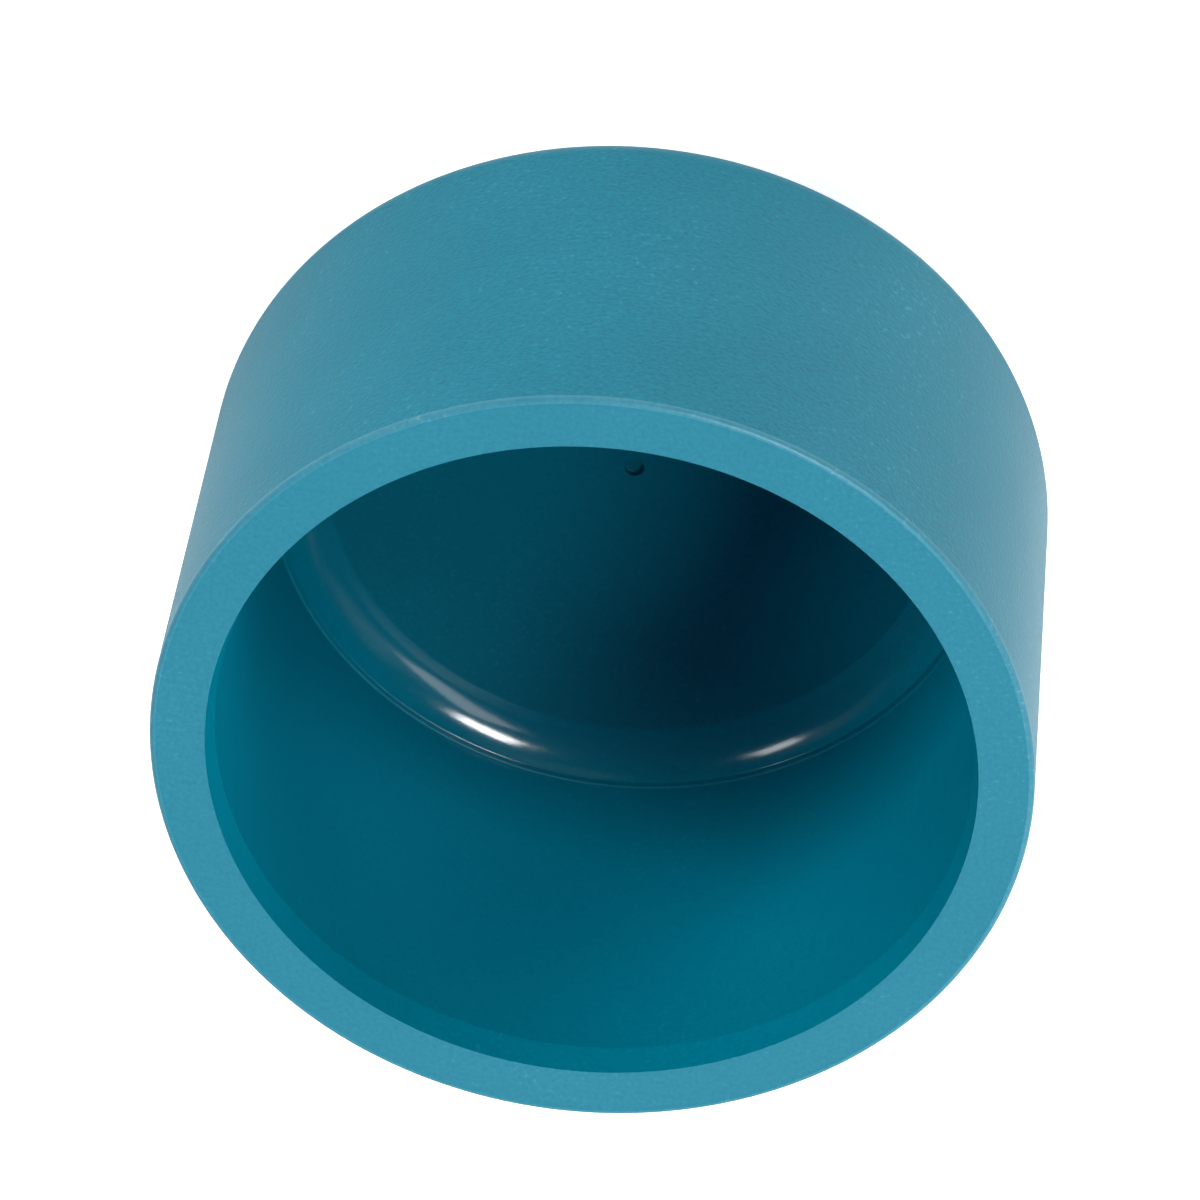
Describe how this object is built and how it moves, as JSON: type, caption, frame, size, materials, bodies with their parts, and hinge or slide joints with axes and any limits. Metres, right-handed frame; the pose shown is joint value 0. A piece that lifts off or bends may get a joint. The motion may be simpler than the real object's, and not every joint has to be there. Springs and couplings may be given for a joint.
{
  "type": "pipe cap",
  "caption": "Round plastic end cap with a deep smooth socket for gluing onto the end of a 50 mm pressure pipe, closed at the bottom.",
  "frame": {"origin": "centre of the flat closed end, which the cap stands on", "axes": "+Z along the cap's axis, out of the mouth; X and Y are free, because the cap is a body of revolution"},
  "size_m": [0.0584, 0.0584, 0.0388],
  "materials": {
    "pvc": "satin moulded PVC-U outside, polished inside the socket"
  },
  "bodies": {
    "root": {"cap_body": "pvc"}
  },
  "joints": []
}
